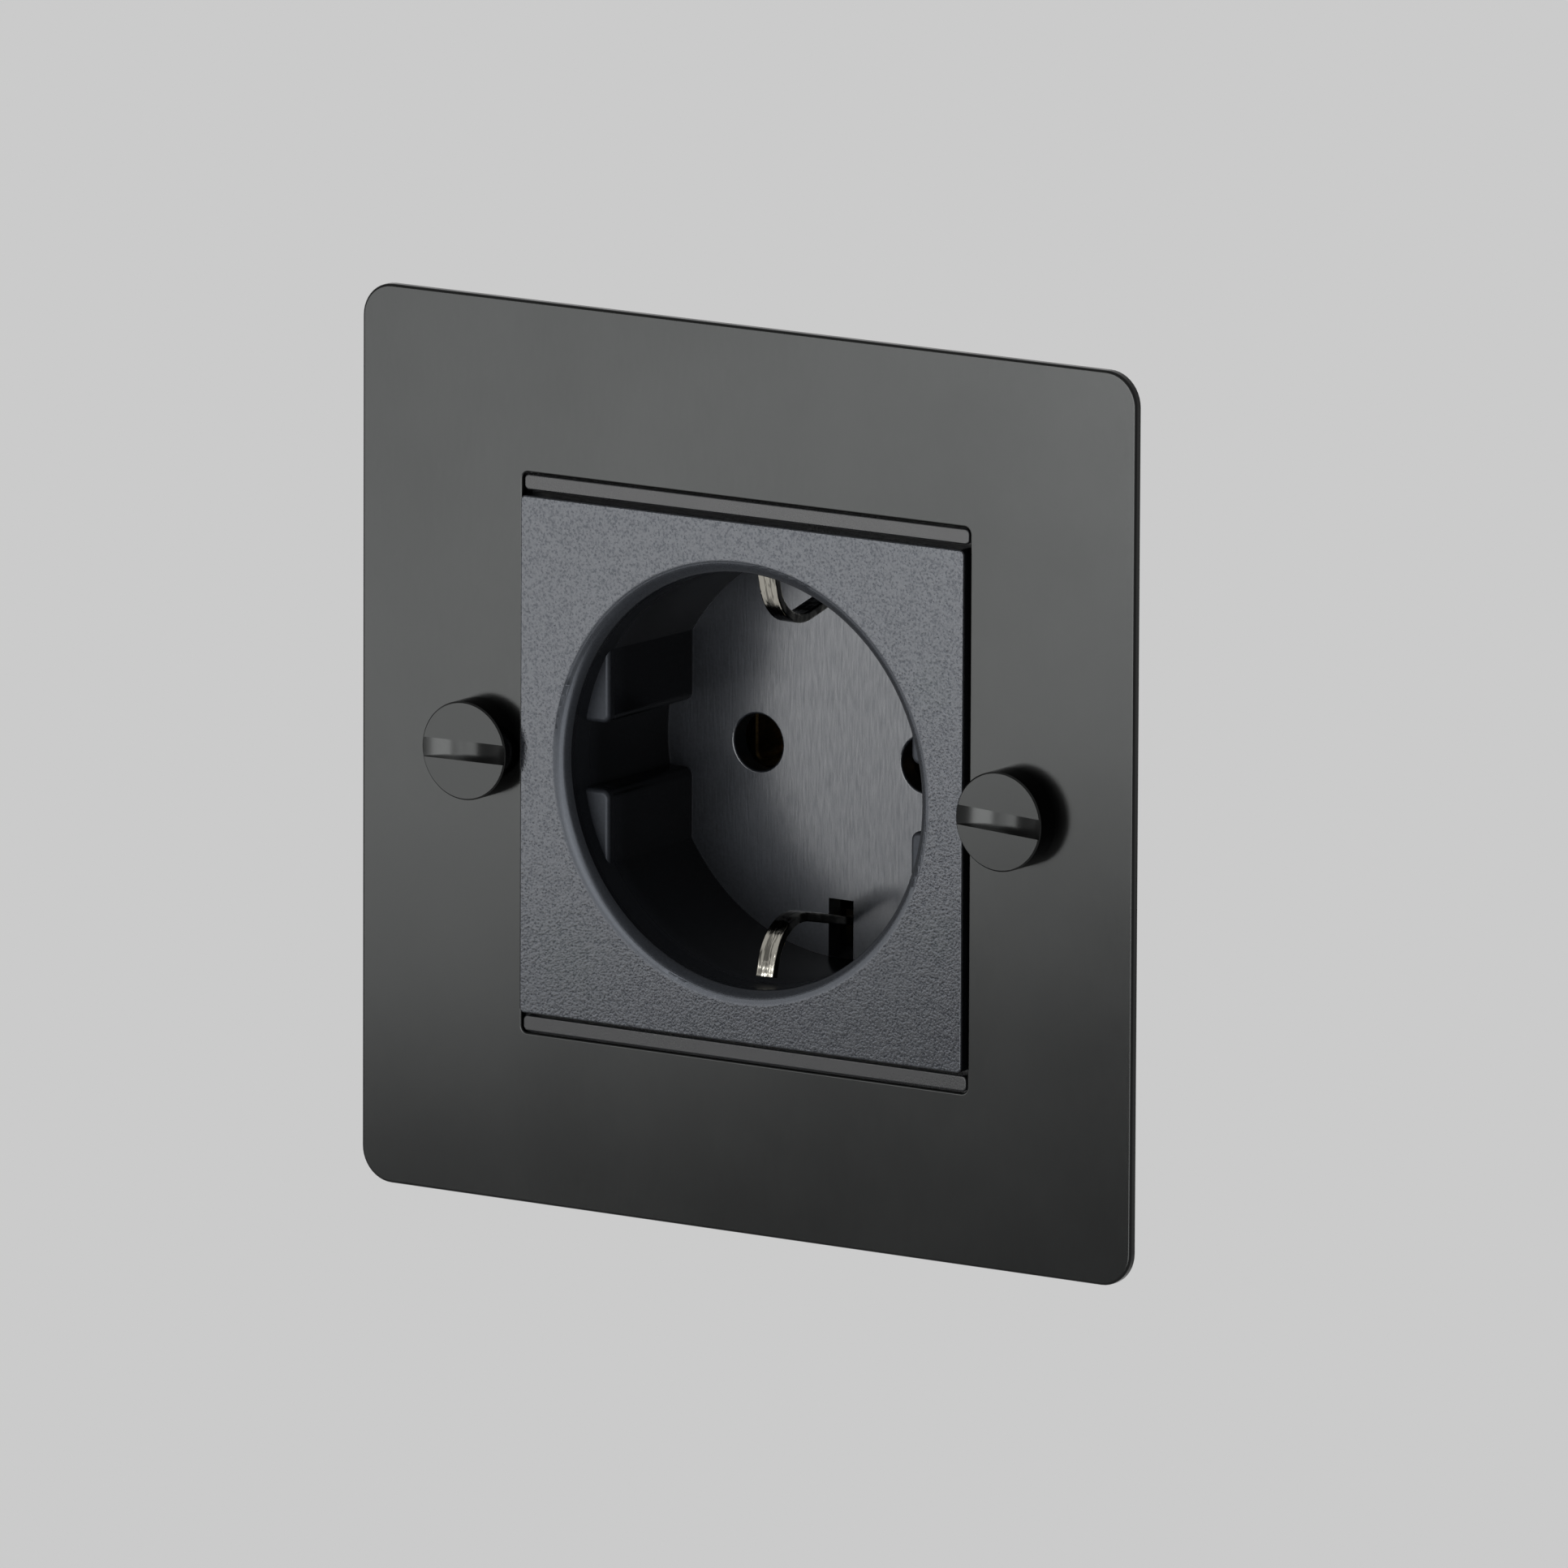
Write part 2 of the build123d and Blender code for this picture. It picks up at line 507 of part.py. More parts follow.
    # Sunk holes for the housing screws, and sockets for the pegs
    with BuildSketch(wall_plane(FLOOR_BACK)):
        with Locations((HOUSING_PLACE, HOUSING_PLACE), (-HOUSING_PLACE, -HOUSING_PLACE)):
            Circle(HOUSING_SCREW_RADIUS + HOUSING_SCREW_CLEARANCE)
    extrude(amount=FLOOR_BACK - BASE_BACK, mode=Mode.SUBTRACT)
    with BuildSketch(wall_plane(HOUSING_SEAT)):
        with Locations((HOUSING_PLACE, HOUSING_PLACE), (-HOUSING_PLACE, -HOUSING_PLACE)):
            Circle(HOUSING_HEAD_RADIUS + HOUSING_HEAD_CLEARANCE)
    extrude(amount=-HOUSING_SINK, mode=Mode.SUBTRACT)
    with BuildSketch(wall_plane(FLOOR_BACK)):
        with Locations((-HOUSING_PLACE, HOUSING_PLACE), (HOUSING_PLACE, -HOUSING_PLACE)):
            Circle(PEG_RADIUS + PEG_CLEARANCE)
    extrude(amount=-(PEG_LENGTH + PEG_CLEARANCE), mode=Mode.SUBTRACT)

# Earth strap: a bridge behind the floor whose ends bend forward into the two sprung clips
with BuildPart() as earth_strap:
    bridge_middle = BRIDGE_FRONT + STRIP_THICKNESS / 2
    leg_slope = (EARTH_NOSE_INSET - EARTH_FLOOR_INSET) / (RECESS_DEPTH - EARTH_NOSE_DEPTH)
    leg_root = RECESS_RADIUS - EARTH_FLOOR_INSET + leg_slope * (bridge_middle - FLOOR_FRONT)
    with BuildSketch(Plane.YZ):
        with BuildLine():
            FilletPolyline(
                (bridge_middle, 0),
                (bridge_middle, leg_root),
                (FACE_FRONT + EARTH_NOSE_DEPTH, RECESS_RADIUS - EARTH_NOSE_INSET),
                (FACE_FRONT + EARTH_TIP_DEPTH, RECESS_RADIUS - EARTH_TIP_GAP),
                radius=(EARTH_ROOT_BEND, EARTH_NOSE_BEND),
            )
        trace(line_width=STRIP_THICKNESS)
        mirror(about=Plane.XZ)
    extrude(amount=EARTH_WIDTH / 2, both=True)
    fillet(earth_strap.faces().filter_by(Axis.X).edges(), EARTH_EDGE)
    with BuildSketch(wall_plane(BRIDGE_FRONT)):
        Rectangle(BRIDGE_WIDTH, 2 * (RECESS_RADIUS - BRIDGE_INSET))
    extrude(amount=-STRIP_THICKNESS)
    with BuildSketch(wall_plane(BRIDGE_FRONT)):
        with PolarLocations(TERMINAL_INSIDE, 1, start_angle=EARTH_TURN):
            Rectangle(
                TAIL_BACK - BRIDGE_FRONT, TAIL_WIDTH + STRIP_THICKNESS / 2, align=(Align.MAX, Align.CENTER)
            )
    extrude(amount=-STRIP_THICKNESS, mode=Mode.SUBTRACT)
    with BuildSketch(side_plane(TERMINAL_INSIDE, EARTH_TURN)):
        with Locations((BRIDGE_FRONT, 0)):
            Rectangle(TAIL_BACK - BRIDGE_FRONT, TAIL_WIDTH, align=(Align.MIN, Align.CENTER))
    extrude(amount=STRIP_THICKNESS)


def leaf_contact(turn):
    """A leaf contact that grips a pin from above and below, with its tail in the terminal at that turn."""
    leaf_middle = (CONTACT_GAP + STRIP_THICKNESS) / 2
    with BuildPart() as contact:
        with BuildSketch(wall_plane(CONTACT_FRONT, turn)):
            with BuildLine():
                FilletPolyline(
                    (LEAF_TIP_PLACE, leaf_middle + CONTACT_FLARE),
                    (PIN_PLACE, leaf_middle),
                    (STRIP_PLACE, CONTACT_HEIGHT / 2),
                    (STRIP_PLACE, -CONTACT_HEIGHT / 2),
                    (PIN_PLACE, -leaf_middle),
                    (LEAF_TIP_PLACE, -leaf_middle - CONTACT_FLARE),
                    radius=CONTACT_BEND,
                )
            trace(line_width=STRIP_THICKNESS)
        extrude(amount=CONTACT_FRONT - CONTACT_BACK)
        chamfer(contact.faces().sort_by(Axis.Y)[0].edges(), CONTACT_EDGE)
        with BuildSketch(side_plane(TERMINAL_INSIDE, turn)):
            with Locations((CONTACT_BACK, 0)):
                Rectangle(SHOULDER_BACK - CONTACT_BACK, SHOULDER_WIDTH, align=(Align.MIN, Align.CENTER))
                Rectangle(TAIL_BACK - CONTACT_BACK, TAIL_WIDTH, align=(Align.MIN, Align.CENTER))
        extrude(amount=STRIP_THICKNESS)
    return contact


def box_terminal(turn):
    """A box terminal with its wire mouth towards the back and its screw thread facing out at that turn."""
    with BuildPart() as terminal:
        with BuildSketch(wall_plane(TERMINAL_FRONT, turn)):
            with Locations((TERMINAL_INSIDE - TERMINAL_WALL, 0)):
                Rectangle(
                    TERMINAL_OUTSIDE - TERMINAL_INSIDE + TERMINAL_WALL,
                    TERMINAL_WIDTH,
                    align=(Align.MIN, Align.CENTER),
                )
            with Locations((TERMINAL_INSIDE, 0)):
                Rectangle(
                    TERMINAL_MOUTH - TERMINAL_INSIDE,
                    TERMINAL_WIDTH - 2 * TERMINAL_WALL,
                    align=(Align.MIN, Align.CENTER),
                    mode=Mode.SUBTRACT,
                )
        extrude(amount=-TERMINAL_LENGTH)
        with BuildSketch(side_plane(TERMINAL_OUTSIDE, turn)):
            with Locations((TERMINAL_MIDDLE, 0)):
                Circle(TERMINAL_SCREW_RADIUS + TERMINAL_THREAD_CLEARANCE)
        extrude(amount=-TERMINAL_THREAD_WALL, mode=Mode.SUBTRACT)
    return terminal


live_contact = leaf_contact(LIVE_TURN)
neutral_contact = leaf_contact(NEUTRAL_TURN)
live_terminal = box_terminal(LIVE_TURN)
neutral_terminal = box_terminal(NEUTRAL_TURN)
earth_terminal = box_terminal(EARTH_TURN)

# Plates that the terminal screws press on the wires
with BuildPart() as pressure_plates:
    for turn in TERMINAL_TURNS:
        with BuildSketch(side_plane(PRESSURE_PLACE, turn)):
            with Locations((TERMINAL_MIDDLE, 0)):
                Rectangle(PRESSURE_LENGTH, TAIL_WIDTH)
        extrude(amount=PRESSURE_PLATE)

# Slotted screws of the terminals
with BuildPart() as terminal_screws:
    head_place = TERMINAL_OUTSIDE + TERMINAL_HEAD_ROOM
    for turn in TERMINAL_TURNS:
        with BuildSketch(side_plane(SCREW_TIP_PLACE, turn)):
            with Locations((TERMINAL_MIDDLE, 0)):
                Circle(TERMINAL_SCREW_RADIUS)
        extrude(amount=head_place - SCREW_TIP_PLACE)
        with BuildSketch(side_plane(head_place, turn)):
            with Locations((TERMINAL_MIDDLE, 0)):
                Circle(TERMINAL_HEAD_RADIUS)
        extrude(amount=TERMINAL_HEAD_HEIGHT)
        with BuildSketch(side_plane(head_place + TERMINAL_HEAD_HEIGHT, turn)):
            with Locations((TERMINAL_MIDDLE, 0)):
                Rectangle(2 * TERMINAL_HEAD_RADIUS, DRIVER_SLOT_WIDTH)
        extrude(amount=-DRIVER_SLOT_DEPTH, mode=Mode.SUBTRACT)

# Housing screws: sunk in the base's corner tubes and threaded into the face's bosses
with BuildPart() as housing_screws:
    with BuildSketch(wall_plane(HOUSING_SEAT)):
        with Locations((HOUSING_PLACE, HOUSING_PLACE), (-HOUSING_PLACE, -HOUSING_PLACE)):
            Circle(HOUSING_SCREW_RADIUS)
    extrude(amount=HOUSING_SEAT - FLOOR_BACK + HOUSING_SCREW_GRIP)
    with BuildSketch(wall_plane(HOUSING_SEAT)):
        with Locations((HOUSING_PLACE, HOUSING_PLACE), (-HOUSING_PLACE, -HOUSING_PLACE)):
            Circle(HOUSING_HEAD_RADIUS)
    extrude(amount=-HOUSING_HEAD_HEIGHT)
    with BuildSketch(wall_plane(HOUSING_SEAT + HOUSING_HEAD_HEIGHT)):
        with Locations((HOUSING_PLACE, HOUSING_PLACE), (-HOUSING_PLACE, -HOUSING_PLACE)):
            Rectangle(2 * HOUSING_HEAD_RADIUS, DRIVER_SLOT_WIDTH)
    extrude(amount=DRIVER_SLOT_DEPTH, mode=Mode.SUBTRACT)

pieces = {
    "front_plate": front_plate,
    "wall_gasket": wall_gasket,
    "plate_screws": plate_screws,
    "carrier_frame": carrier_frame,
    "socket_face": socket_face,
    "rear_base": rear_base,
    "earth_strap": earth_strap,
    "live_contact": live_contact,
    "neutral_contact": neutral_contact,
    "live_terminal": live_terminal,
    "neutral_terminal": neutral_terminal,
    "earth_terminal": earth_terminal,
    "pressure_plates": pressure_plates,
    "terminal_screws": terminal_screws,
    "housing_screws": housing_screws,
}
os.makedirs("parts", exist_ok=True)
for name, piece in pieces.items():
    piece.part.label = name
    export_step(piece.part, f"parts/{name}.step")
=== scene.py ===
import math

import bmesh
import bpy
from bpy.props import FloatProperty, FloatVectorProperty, PointerProperty
from mathutils import Matrix, Vector


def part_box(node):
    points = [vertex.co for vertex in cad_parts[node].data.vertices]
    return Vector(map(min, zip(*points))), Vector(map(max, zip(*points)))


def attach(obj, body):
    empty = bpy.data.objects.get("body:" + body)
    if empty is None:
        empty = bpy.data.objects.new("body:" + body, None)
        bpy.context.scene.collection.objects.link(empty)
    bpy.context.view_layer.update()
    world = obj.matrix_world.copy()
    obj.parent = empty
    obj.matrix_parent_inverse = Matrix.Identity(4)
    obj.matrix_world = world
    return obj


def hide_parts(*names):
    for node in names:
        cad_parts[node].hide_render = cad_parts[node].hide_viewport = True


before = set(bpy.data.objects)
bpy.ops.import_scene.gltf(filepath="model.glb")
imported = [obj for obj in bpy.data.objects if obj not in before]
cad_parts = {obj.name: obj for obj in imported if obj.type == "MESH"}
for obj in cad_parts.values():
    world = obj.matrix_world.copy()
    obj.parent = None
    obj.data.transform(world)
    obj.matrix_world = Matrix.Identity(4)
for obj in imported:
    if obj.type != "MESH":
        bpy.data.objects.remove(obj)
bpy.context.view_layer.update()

bl_info = {
    "name": "Earthed Wall Socket",
    "version": (1, 0, 0),
    "blender": (4, 5, 0),
    "location": "3D View > Sidebar > Socket",
    "description": "Gives the wall socket's pieces their finishes and sets a studio around it",
    "category": "Object",
}

MM = 0.001
NOISE_MIDDLE = 0.5

# Front of the socket's face and of its screw heads, read from the frame
FACE_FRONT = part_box("socket_face")[0].y
HEAD_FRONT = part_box("plate_screws")[0].y

# Thread of the plate screws: steps in a turn, and the ridge's section in shares of pitch and height
THREAD_STEPS = 36
THREAD_RIDGE = ((0.0, 0.0), (0.35, 1.0), (0.5, 1.0), (0.85, 0.0))

# How far the ridge's feet reach into the core, and the share of its radius where a shank has thread
THREAD_ROOT = 0.02 * MM
THREADED_SHARE = 0.98

# Zones of the recess: from where each sets in to where it is full, in millimetres behind the face
RIB_FRONTS_BEGIN = (1.6, 2.4)
RIB_FRONTS_END = (3.6, 4.4)
# The deep walls' zone is where the recess gets painted shade
PAINTED_SHADE_DEPTHS = (4.5, 6.5)

# The floor's edge, measured from the floor, and half the width of the lip's edge, in millimetres
FLOOR_EDGE = (-0.2, -0.05)
LIP_BLUR = 0.15

# Roughness of the face and of the recess's zones
FACE_ROUGHNESS = 0.16
WALL_ROUGHNESS = 0.24
FLOOR_ROUGHNESS = 0.34
RIB_ROUGHNESS = 0.46

# Roughness of the seal's foam, and what tarnish adds to a metal's own
FOAM_ROUGHNESS = 0.86
TARNISH_ROUGHNESS = 0.12

# Clear coat on the recess floor and on the face's grain
FLOOR_COAT = 0.1
GRAIN_COAT = 0.36
COAT_ROUGHNESS = 0.23

# Pits in one width of the grain, and how bright the deep walls are painted beside the face, as painted
# shade in the recess
PITS_PER_GRAIN = 1.1
DEEP_WALL_PAINTED_SHADE = 0.2

# Refractive index of the face and of the plainer plastics
FACE_IOR = 1.47
PLASTIC_IOR = 1.5

# Waves in a millimetre along X, Y and Z
PLATE_STREAKS = (14.0, 14.0, 0.4)
SCREW_STREAKS = (0.8, 10.0, 10.0)
FLOOR_STREAKS = (5.0, 0.2, 0.5)
FLOW_MARKS = (0.05, 0.05, 0.2)
NICKEL_LINES_AND_PAINTED_STREAKS = (2.6, 0.25, 0.25)
CONTACT_LINES = (6.0, 0.4, 6.0)
TERMINAL_LINES = (7.0, 7.0, 7.0)
ZINC_LINES = (5.0, 5.0, 5.0)

# Height of each finish's relief, in millimetres
BRUSH_RELIEF = 0.0008
SPECK_RELIEF = 0.0006
FLOOR_RELIEF = 0.014
PLASTIC_RELIEF = 0.007
FOAM_RELIEF = 0.05
STRIP_RELIEF = 0.012
NICKEL_RELIEF = 0.05
WAVE_RELIEF = 0.08

# Share of the brass's colour on the contacts, as painted shade in the pin holes, and on the terminals,
# and the colours that brass and zinc tarnish to
CONTACT_PAINTED_SHADE = 0.15
TERMINAL_SHADE = 0.94
BRASS_TARNISH = (0.33, 0.20, 0.09)
ZINC_TARNISH = (0.40, 0.36, 0.26)

# Stage: lengths in metres, but the camera's sensor in millimetres
FLOOR_RADIUS = 30.0
FLOOR_SIDES = 96
SENSOR_WIDTH = 36.0
CLIP_NEAR = 0.05
CLIP_FAR = 100.0


def colour_property(name, description, default):
    """A colour that a user can change, in linear light."""
    return FloatVectorProperty(
        name=name, description=description, default=default, subtype="COLOR", min=0.0, max=1.0
    )


def share_property(name, description, default):
    """A number from 0 to 1 that a user can change."""
    return FloatProperty(
        name=name, description=description, default=default, subtype="FACTOR", min=0.0, max=1.0
    )


def length_property(name, description, default):
    """A length in metres that a user can change."""
    return FloatProperty(
        name=name, description=description, default=default, unit="LENGTH", precision=5
    )


def angle_property(name, description, degrees):
    """An angle that a user can change, given here in degrees and kept in radians."""
    angle = math.radians(degrees)
    return FloatProperty(
        name=name, description=description, default=angle, unit="ROTATION", precision=4
    )


def place_property(name, description, default):
    """A point in the socket's frame that a user can change."""
    return FloatVectorProperty(
        name=name,
        description=description,
        default=default,
        subtype="TRANSLATION",
        unit="LENGTH",
        precision=5,
    )


def power_property(name, description, default):
    """A lamp's power in watts that a user can change."""
    return FloatProperty(
        name=name, description=description, default=default, unit="POWER", precision=3
    )


class SocketFinishes(bpy.types.PropertyGroup):
    """Colours and surface sizes of the socket's pieces."""

    plate_colour: colour_property(
        "Plate", "Satin black metal of the plate and its screws", (0.0218, 0.0224, 0.0222)
    )
    plate_roughness: share_property("Plate roughness", "How soft the plate's reflections are", 0.2)
    # Painted shade: the screw heads' flats are painted darker than the plate of the same metal
    head_painted_shade: share_property(
        "Head shade", "How bright the screw heads' flats are beside the plate", 0.9
    )
    face_colour: colour_property(
        "Face", "Moulded plastic of the socket module", (0.008, 0.009, 0.011)
    )
    face_gloss: colour_property(
        "Face gloss", "Tint of the light that the face throws back", (0.465, 0.5, 0.56)
    )
    rail_colour: colour_property(
        "Rails", "Moulded plastic of the carrier frame", (0.009, 0.0095, 0.0105)
    )
    base_colour: colour_property(
        "Base", "Moulded plastic of the base behind the wall", (0.026, 0.027, 0.029)
    )
    seal_colour: colour_property("Seal", "Foam of the seal behind the plate", (0.022, 0.022, 0.023))
    nickel_colour: colour_property("Nickel", "Plating of the earth strap", (0.48, 0.46, 0.405))
    brass_colour: colour_property(
        "Brass", "Metal of the contacts and the terminals", (0.62, 0.42, 0.17)
    )
    zinc_colour: colour_property("Zinc", "Plating of the small screws", (0.55, 0.56, 0.57))
    grain_size: length_property("Grain", "Width of one pit of the face's moulded grain", 0.00024)
    grain_depth: length_property("Grain depth", "Depth of the face's moulded grain", 0.00002)
    lip_radius: length_property("Lip radius", "Where the recess lip meets the face", 0.0212)
    lip_size: length_property("Lip size", "How deep the recess lip's rounding goes", 0.00125)
    lip_softness: share_property(
        "Lip softness", "How much rounder the lip is shaded than it is cut", 0.5
    )
    recess_depth: length_property("Recess depth", "From the face to the recess floor", 0.0175)
    thread_radius: length_property(
        "Thread radius", "Outer radius of the plate screws' thread", 0.00175
    )
    thread_pitch: length_property(
        "Thread pitch", "Rise of one turn of the plate screws' thread", 0.0006
    )
    thread_depth: length_property("Thread depth", "Height of the thread over its core", 0.00036)


class SocketStudio(bpy.types.PropertyGroup):
    """Camera, lamps and background around the socket."""

    azimuth: angle_property("Azimuth", "How far the camera stands to the right", 33.366)
    elevation: angle_property("Elevation", "How far the camera stands above the socket", 11.249)
    roll: angle_property("Roll", "How far the camera is turned about its own axis", 0.251)
    distance: length_property("Distance", "From the camera to the point that it looks at", 2.3966)
    lens: FloatProperty(
        name="Lens", description="Focal length on a 36 mm sensor", default=584.94, unit="CAMERA"
    )
    target: place_property(
        "Target", "Point in the middle of the picture", (0.003728, -0.0001, 0.000024)
    )
    background: colour_property(
        "Background", "Plain grey of the floor, the wall and the space behind", (0.597, 0.597, 0.597)
    )
    ambient: share_property(
        "Ambient", "Share of the background that lights the socket from all round", 0.3
    )
    floor_drop: length_property("Floor drop", "How far the floor lies below the socket", 2.6)
    floor_shadow: share_property(
        "Floor shadow", "Share of the floor that takes the socket's shadow", 0.05
    )
    wall_size: length_property("Wall", "Side of the wall round the socket", 1.2)
    wall_gap: length_property("Wall gap", "Room between the carrier and the wall", 0.0003)
    key_power: power_property("Key", "Power of the lamp at the left", 0.245)
    key_place: place_property(
        "Key place", "Middle of the lamp at the left", (-0.2260, -0.3055, -0.038)
    )
    side_power: power_property("Side", "Power of the lamp beside the key lamp", 0.43)
    side_place: place_property(
        "Side place", "Middle of the lamp beside the key lamp", (-0.1143, -0.3624, -0.004)
    )
    lamp_width: length_property("Lamp width", "Width of the key lamp and the side lamp", 0.127)
    lamp_height: length_property("Lamp height", "Height of the key lamp and the side lamp", 0.12)
    lamp_lean: angle_property(
        "Lamp lean", "How far the key lamp and the side lamp lean to one side", 13.0
    )
    fill_power: power_property("Fill", "Power of the lamp in front", 0.939)
    fill_place: place_property(
        "Fill place", "Middle of the lamp in front", (0.0199, -0.3795, -0.055)
    )
    fill_width: length_property("Fill width", "Width of the lamp in front", 0.175)
    fill_height: length_property("Fill height", "Height of the lamp in front", 0.244)
    back_power: power_property("Back", "Power of the lamp behind the wall", 6.0)
    back_place: place_property(
        "Back place", "Middle of the lamp behind the wall", (-0.25, 0.6, 0.4)
    )
    back_width: length_property("Back width", "Width and height of the lamp behind the wall", 0.6)


class Shade:
    """A shader socket that takes part in Python arithmetic: each step adds its Math node."""

    def __init__(self, board, socket):
        self.board = board
        self.socket = socket

    def math(self, operation, first, second):
        """Add one Math node on two values."""
        return self.board.node("ShaderNodeMath", {"operation": operation}, {0: first, 1: second})

    def __add__(self, other):
        return self.math("ADD", self, other)

    def __radd__(self, other):
        return self.math("ADD", other, self)

    def __sub__(self, other):
        return self.math("SUBTRACT", self, other)

    def __rsub__(self, other):
        return self.math("SUBTRACT", other, self)

    def __mul__(self, other):
        return self.math("MULTIPLY", self, other)

    def __rmul__(self, other):
        return self.math("MULTIPLY", other, self)

    def __pow__(self, other):
        return self.math("POWER", self, other)

    def __rpow__(self, other):
        return self.math("POWER", other, self)

    def least(self, other):
        """The smaller of this value and another."""
        return self.math("MINIMUM", self, other)

    def also(self, output):
        """Another output of the same node."""
        return Shade(self.board, self.socket.node.outputs[output])


class Board:
    """A node tree whose nodes all come from one method."""

    def __init__(self, owner):
        owner.use_nodes = True
        self.tree = owner.node_tree
        self.tree.nodes.clear()

    def node(self, kind, settings=None, inputs=None, output=0):
        """Add a node: its settings first, then the values or links of its sockets."""
        made = self.tree.nodes.new(kind)
        for name, value in (settings or {}).items():
            setattr(made, name, value)
        for name, value in (inputs or {}).items():
            self.feed(made.inputs[name], value)
        return Shade(self, made.outputs[output]) if made.outputs else None

    def feed(self, socket, value):
        """Link a shade to a socket, or set a plain value on it."""
        if isinstance(value, Shade):
            self.tree.links.new(value.socket, socket)
        else:
            socket.default_value = value

    def shown(self):
        """1 where the camera, a reflection or a clear surface looks, 0 where light is gathered."""
        camera = self.node("ShaderNodeLightPath", output="Is Camera Ray")
        glossy, clear = camera.also("Is Glossy Ray"), camera.also("Is Transmission Ray")
        return 1 - (1 - camera) * (1 - glossy) * (1 - clear)


def tint(colour, share):
    """A colour made darker or lighter by a share of itself."""
    return tuple(min(1.0, channel * share) for channel in colour)


def swing(noise, width):
    """A noise from 0 to 1 as a swing about 0 of that width."""
    return (noise - NOISE_MIDDLE) * width


class Finish(Board):
    """A material built round one Principled shader."""

    def __init__(self, name):
        self.material = bpy.data.materials.new(name)
        super().__init__(self.material)
        self.shader = self.node("ShaderNodeBsdfPrincipled")
        self.node("ShaderNodeOutputMaterial", inputs={"Surface": self.shader})

    def set(self, **values):
        """Set the shader's own sockets, named with underscores for spaces."""
        for name, value in values.items():
            self.feed(self.shader.socket.node.inputs[name.replace("_", " ")], value)

    def place(self):
        """Where a point lies in the socket's frame, in millimetres."""
        raw = self.node("ShaderNodeTexCoord", output="Object")
        scale = {0: raw, "Scale": 1 / MM}
        return self.node("ShaderNodeVectorMath", {"operation": "SCALE"}, scale)

    def axes(self, place):
        """The X, Y and Z of a place, each as its own value."""
        split = self.node("ShaderNodeSeparateXYZ", inputs={0: place})
        return [Shade(self, socket) for socket in split.socket.node.outputs]

    def stretch(self, place, x, y, z):
        """A place with its three axes scaled, for patterns that run along one of them."""
        factors = {0: place, 1: (x, y, z)}
        return self.node("ShaderNodeVectorMath", {"operation": "MULTIPLY"}, factors)

    def noise(self, place, scale=1.0, detail=2.0, roughness=0.5):
        """Smooth noise from 0 to 1 with that many waves in a unit of the place."""
        return self.node(
            "ShaderNodeTexNoise",
            inputs={"Vector": place, "Scale": scale, "Detail": detail, "Roughness": roughness},
        )

    def cells(self, place, scale):
        """Distance to the middle of the nearest cell, with that many cells in a millimetre."""
        return self.node("ShaderNodeTexVoronoi", inputs={"Vector": place, "Scale": scale})

    def step(self, value, low, high):
        """0 below low and 1 above high, smooth between."""
        return self.node(
            "ShaderNodeMapRange",
            {"interpolation_type": "SMOOTHSTEP"},
            {"Value": value, "From Min": low, "From Max": high},
        )

    def blend(self, share, first, second):
        """A colour between two colours."""
        ends = [end if isinstance(end, Shade) else (*end[:3], 1.0) for end in (first, second)]
        inputs = {0: share, 6: ends[0], 7: ends[1]}
        return self.node("ShaderNodeMix", {"data_type": "RGBA"}, inputs, output=2)

    def mottle(self, share, colour, spread):
        """A colour that runs from darker to lighter than itself by that spread."""
        return self.blend(share, tint(colour, 1 - spread), tint(colour, 1 + spread))

    def bump(self, height):
        """A normal bent by a height in millimetres."""
        return self.node("ShaderNodeBump", inputs={"Height": height, "Distance": MM})


def dress(node, finish):
    """Give a CAD node its finish."""
    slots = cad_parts[node].data.materials
    slots.clear()
    slots.append(finish.material)


def satin_black_metal(name, finishes, streaks, head_painted_shade=1.0):
    """Satin black metal: brush streaks, faint handling marks and painted shade darkening the head
    flats.
    """
    finish = Finish(name)
    place = finish.place()
    behind_heads = finish.axes(place)[1] - HEAD_FRONT / MM
    brushed = finish.noise(finish.stretch(place, *streaks), detail=3.0, roughness=0.6)
    cloud = finish.noise(place, scale=0.06, detail=3.0)
    speck = finish.noise(place, scale=9.0, detail=1.0)
    shade = finish.step(brushed * 0.5 + cloud * 0.5, low=0.3, high=0.7)
    metal = finish.mottle(shade, finishes.plate_colour, spread=0.07)
    # The head flats' colour is painted shade: the same metal, only darker
    shaded_head_flat = finish.mottle(shade, tint(finishes.plate_colour, head_painted_shade), spread=0.05)
    finish.set(
        Base_Color=finish.blend(finish.step(behind_heads, low=0.02, high=0.06), shaded_head_flat, metal),
        Metallic=1.0,
        Roughness=finishes.plate_roughness + swing(brushed, width=0.05) + swing(cloud, width=0.03),
        Normal=finish.bump(brushed * BRUSH_RELIEF + speck * SPECK_RELIEF),
    )
    return finish


